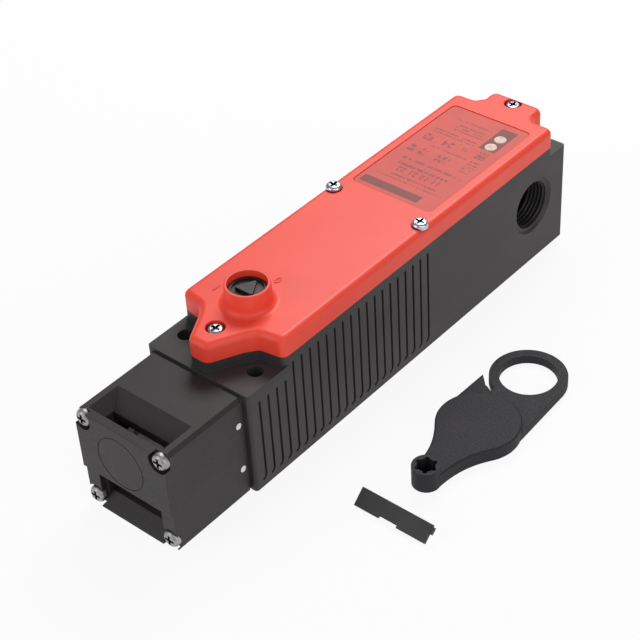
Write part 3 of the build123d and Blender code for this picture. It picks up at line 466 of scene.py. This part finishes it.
nodeFinishes = {
    "housing": "housing", "cover": "cover", "cover_gasket": "rubber", "cover_screws": "zinc",
    "label": "label", "lamp_lenses": "lamp", "lamp_board": "board", "board_posts": "inner",
    "head_housing": "head", "head_gasket": "gasket", "head_base": "inner", "head_pins": "steel",
    "head_screws": "headZinc", "cam_wheel": "wheelSteel", "wheel_axle": "steel", "push_rod": "rod",
    "tongue_bridge": "brass", "rod_spring": "spring", "tongue_block": "inner", "terminal_screws": "zinc",
    "lock_slide": "steel", "armature": "iron", "armature_spring": "spring", "magnet_frame": "iron",
    "coil_bobbin": "rod", "coil_winding": "copper", "lock_bridge": "brass", "lock_block": "inner",
    "release_spindle": "spindle", "spindle_clip": "steel", "release_cam": "steel",
    "earth_terminal": "brass", "earth_screw": "zinc", "release_key": "key", "slot_plug": "plug",
}
for nodeName, finishName in nodeFinishes.items():
    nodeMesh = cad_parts[nodeName].data
    nodeMesh.materials.clear()
    nodeMesh.materials.append(finishes[finishName])
print("materials on", len(nodeFinishes), "nodes")


# threads of the three conduit entries

threadLook = {
    "pitch": 1.5 * mm, "turns": 5, "rootRadius": 9.3 * mm, "crestRadius": 8.7 * mm,
    "rootWidth": 1.3 * mm, "crestWidth": 0.25 * mm, "steps": 56, "smoothAngle": math.radians(35),
    "startIn": 1.1 * mm,                       # first turn behind the outer face
    "y": 153.4 * mm, "z": 24.0 * mm,           # middle of the side entries; the rear one has the same height
}


def makeThread(name, look, centre, turn):
    # one closed ridge section, screwed round the entry's axis
    deselectAll()
    bpy.ops.mesh.primitive_plane_add(size=1.0)
    ridge = bpy.context.object
    openEdit(ridge)
    bpy.ops.mesh.select_all(action="SELECT")
    bpy.ops.transform.resize(value=(look["rootRadius"] - look["crestRadius"], look["rootWidth"], 1))
    bpy.ops.transform.rotate(value=quarter, orient_axis="X", center_override=(0, 0, 0))
    middle = (look["rootRadius"] + look["crestRadius"]) / 2
    bpy.ops.transform.translate(value=(middle, 0, look["pitch"] / 2))
    pickVerts(ridge, lambda co: co.x < middle)
    bpy.ops.transform.resize(value=(1, 1, look["crestWidth"] / look["rootWidth"]))
    bpy.ops.mesh.select_all(action="SELECT")
    bpy.ops.mesh.delete(type="ONLY_FACE")
    closeEdit()
    screw = ridge.modifiers.new("thread", "SCREW")
    screw.axis = "Z"
    screw.angle = math.radians(360)
    screw.screw_offset = look["pitch"]
    screw.iterations = look["turns"]
    screw.steps = look["steps"]
    screw.render_steps = look["steps"]
    screw.use_merge_vertices = True
    applyAll(ridge)
    openEdit(ridge, "EDGE")
    bpy.ops.mesh.select_all(action="DESELECT")
    bpy.ops.mesh.select_non_manifold()
    bpy.ops.mesh.edge_face_add()
    closeEdit()
    fixNormals(ridge)
    bpy.ops.object.select_all(action="DESELECT")
    ridge.select_set(True)
    bpy.ops.object.shade_smooth_by_angle(angle=look["smoothAngle"])
    ridge.rotation_euler = turn
    ridge.location = centre
    # this finish paints shade into the thread inside the entry
    return settle(ridge, name, "switch_body", finishes["entry"])


housingLow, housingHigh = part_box("housing")
entryY = frontY + threadLook["y"]
entryZ = threadLook["z"]
startIn = threadLook["startIn"]
entries = {
    "entry_thread_right": {"centre": (housingHigh.x - startIn, entryY, entryZ), "turn": (0, -quarter, 0)},
    "entry_thread_left": {"centre": (housingLow.x + startIn, entryY, entryZ), "turn": (0, quarter, 0)},
    "entry_thread_rear": {"centre": (0, housingHigh.y - startIn, entryZ), "turn": (quarter, 0, 0)},
}
for threadName, entry in entries.items():
    makeThread(threadName, threadLook, entry["centre"], entry["turn"])
print("entry threads made")


# plain numbers on the label and beside the release collar

def makeNumbers(name, look, body, material):
    parts = []
    for text, x, y, size in look["rows"]:
        deselectAll()
        bpy.ops.object.text_add()
        figure = bpy.context.object
        figure.data.body = text
        figure.data.size = size * mm
        figure.data.align_x = "CENTER"
        figure.data.align_y = "CENTER"
        figure.data.extrude = look["rise"] / 2
        figure.data.offset = look["swell"]
        figure.data.resolution_u = look["curveSteps"]
        bpy.ops.object.convert(target="MESH")
        figure = bpy.context.object
        figure.rotation_euler = (0, 0, look["turn"])
        figure.location = (x * mm, frontY + y * mm, look["z"])
        applyAll(figure)
        parts.append(figure)
    deselectAll()
    for part in parts:
        part.select_set(True)
    bpy.context.view_layer.objects.active = parts[0]
    if len(parts) > 1:
        bpy.ops.object.join()
    return settle(bpy.context.object, name, body, material)


inkLook = {
    "colour": screenColour(124, 66, 64), "shade": screenColour(98, 56, 56), "toneSpan": (0.3, 0.7),
    "wornScale": 1800.0, "roughness": 0.55,
}


def inkMaterial(look):
    material, nodes, links, shader, place = startMaterial("labelInk")
    worn = noiseNode(nodes, links, place, look["wornScale"], 3.0)
    links.new(twoTones(nodes, links, worn, look), shader.inputs["Base Color"])
    shader.inputs["Roughness"].default_value = look["roughness"]
    return material


# rows hold the text, x and y of its middle and its size, all in mm
labelNumbers = {
    "rise": 0.04 * mm, "swell": 0.0, "curveSteps": 3, "turn": math.radians(180), "z": labelTop,
    "rows": (("11 12 21 22", 0.4, 113.3, 3.9), ("24", -3.2, 135.4, 4.8), ("1", 13.6, 119.5, 2.2)),
}
collarNumbers = {
    "rise": 0.44 * mm, "swell": 0.05 * mm, "curveSteps": 3, "turn": math.radians(180),
    "z": labelTop + 0.3 * mm,
    "rows": (("1", -13.2, 25.2, 4.4), ("0", 0.2, 39.9, 4.4)),
}
makeNumbers("label_numbers", labelNumbers, "switch_body", inkMaterial(inkLook))
makeNumbers("collar_numbers", collarNumbers, "switch_body", finishes["cover"])
print("numbers made")


# floor, lamps and camera

floorLook = {
    "size": 6.0, "gap": 0.02 * mm,          # the floor lies this far below the lowest point
    "colour": (0.86, 0.86, 0.86, 1.0),
    "whiteShare": 0.9,                      # how much of it is plain white to the camera and in reflections
}


def makeFloor(look):
    deselectAll()
    bpy.ops.mesh.primitive_plane_add(size=look["size"], location=(0, 0, cadBounds[0].z - look["gap"]))
    floor = bpy.context.object
    floor.name = "floor"
    material = bpy.data.materials.new("paleFloor")
    material.use_nodes = True
    nodes = material.node_tree.nodes
    links = material.node_tree.links
    nodes.clear()
    path = nodes.new("ShaderNodeLightPath")
    matt = nodes.new("ShaderNodeBsdfDiffuse")
    matt.inputs["Color"].default_value = look["colour"]
    white = nodes.new("ShaderNodeEmission")
    white.inputs["Strength"].default_value = 1.0
    seen = mathNode(nodes, links, "MAXIMUM", path.outputs["Is Camera Ray"], path.outputs["Is Glossy Ray"])
    seen = mathNode(nodes, links, "MAXIMUM", seen, path.outputs["Is Transmission Ray"])
    share = mathNode(nodes, links, "MULTIPLY", seen, look["whiteShare"])
    mix = nodes.new("ShaderNodeMixShader")
    links.new(share, mix.inputs["Fac"])
    links.new(matt.outputs["BSDF"], mix.inputs[1])
    links.new(white.outputs["Emission"], mix.inputs[2])
    output = nodes.new("ShaderNodeOutputMaterial")
    links.new(mix.outputs["Shader"], output.inputs["Surface"])
    floor.data.materials.append(material)


worldLook = {"colour": (1.0, 1.0, 1.0, 1.0), "strength": 0.28, "seenStrength": 1.0}


def makeWorld(look):
    # white where the camera sees it, weaker as a light
    world = bpy.data.worlds.new("studio")
    bpy.context.scene.world = world
    world.use_nodes = True
    nodes = world.node_tree.nodes
    links = world.node_tree.links
    nodes.clear()
    path = nodes.new("ShaderNodeLightPath")
    mix = nodes.new("ShaderNodeMixShader")
    links.new(path.outputs["Is Camera Ray"], mix.inputs["Fac"])
    for socket, strength in ((mix.inputs[1], look["strength"]), (mix.inputs[2], look["seenStrength"])):
        background = nodes.new("ShaderNodeBackground")
        background.inputs["Color"].default_value = look["colour"]
        background.inputs["Strength"].default_value = strength
        links.new(background.outputs["Background"], socket)
    output = nodes.new("ShaderNodeOutputWorld")
    links.new(mix.outputs["Shader"], output.inputs["Surface"])


def makeLamp(name, look):
    data = bpy.data.lights.new(name, "AREA")
    data.shape = "RECTANGLE"
    data.size, data.size_y = look["size"]
    data.energy = look["watts"]
    lamp = bpy.data.objects.new(name, data)
    bpy.context.scene.collection.objects.link(lamp)
    lamp.location = look["place"]
    aim = Vector(look["aim"]) - lamp.location
    lamp.rotation_euler = aim.to_track_quat("-Z", "Y").to_euler()


lamps = {
    "keyLamp": {"place": (-0.25, 0.55, 0.75), "aim": (0, 0, 0.03), "size": (0.5, 0.36), "watts": 6.0},
    "frontLamp": {"place": (-0.35, -0.85, 0.45), "aim": (0, -0.05, 0.02), "size": (0.6, 0.5), "watts": 2.4},
    "sideLamp": {"place": (0.9, -0.1, 0.4), "aim": (0, 0, 0.02), "size": (0.6, 0.4), "watts": 2.1},
    "viewLamp": {"place": (0.5, -0.56, 0.62), "aim": (0, -0.02, 0.02), "size": (0.3, 0.3), "watts": 0.9},
}
makeFloor(floorLook)
makeWorld(worldLook)
for lampName, lamp in lamps.items():
    makeLamp(lampName, lamp)

photoCamera = {
    "azimuth": 42.457, "elevation": 38.841, "roll": -3.837,    # degrees
    "lens": 95.62, "sensor": 36.0,                             # in the camera's own mm
    "nearest": 0.01,
    "distance": 584.58 * mm, "aim": (0, -9.5 * mm, 25 * mm),
    "aimRight": 13.644 * mm, "aimUp": 13.015 * mm,             # the aim's place off the picture's middle
}


def makeCamera(look):
    azimuth, elevation, roll = (math.radians(look[part]) for part in ("azimuth", "elevation", "roll"))
    back = Vector((math.sin(azimuth) * math.cos(elevation), -math.cos(azimuth) * math.cos(elevation),
                   math.sin(elevation)))
    levelRight = Vector((math.cos(azimuth), math.sin(azimuth), 0))
    levelUp = back.cross(levelRight)
    right = math.cos(roll) * levelRight + math.sin(roll) * levelUp
    up = math.cos(roll) * levelUp - math.sin(roll) * levelRight
    aim = Vector(look["aim"])
    place = aim + look["distance"] * back - look["aimRight"] * right - look["aimUp"] * up
    data = bpy.data.cameras.new("photoCamera")
    data.lens = look["lens"]
    data.sensor_width = look["sensor"]
    data.clip_start = look["nearest"]
    camera = bpy.data.objects.new("photoCamera", data)
    bpy.context.scene.collection.objects.link(camera)
    camera.matrix_world = Matrix((
        (right.x, up.x, back.x, place.x),
        (right.y, up.y, back.y, place.y),
        (right.z, up.z, back.z, place.z),
        (0, 0, 0, 1)))
    bpy.context.scene.camera = camera


makeCamera(photoCamera)
bpy.context.scene.view_settings.view_transform = "Standard"
print("floor, lamps and camera set")
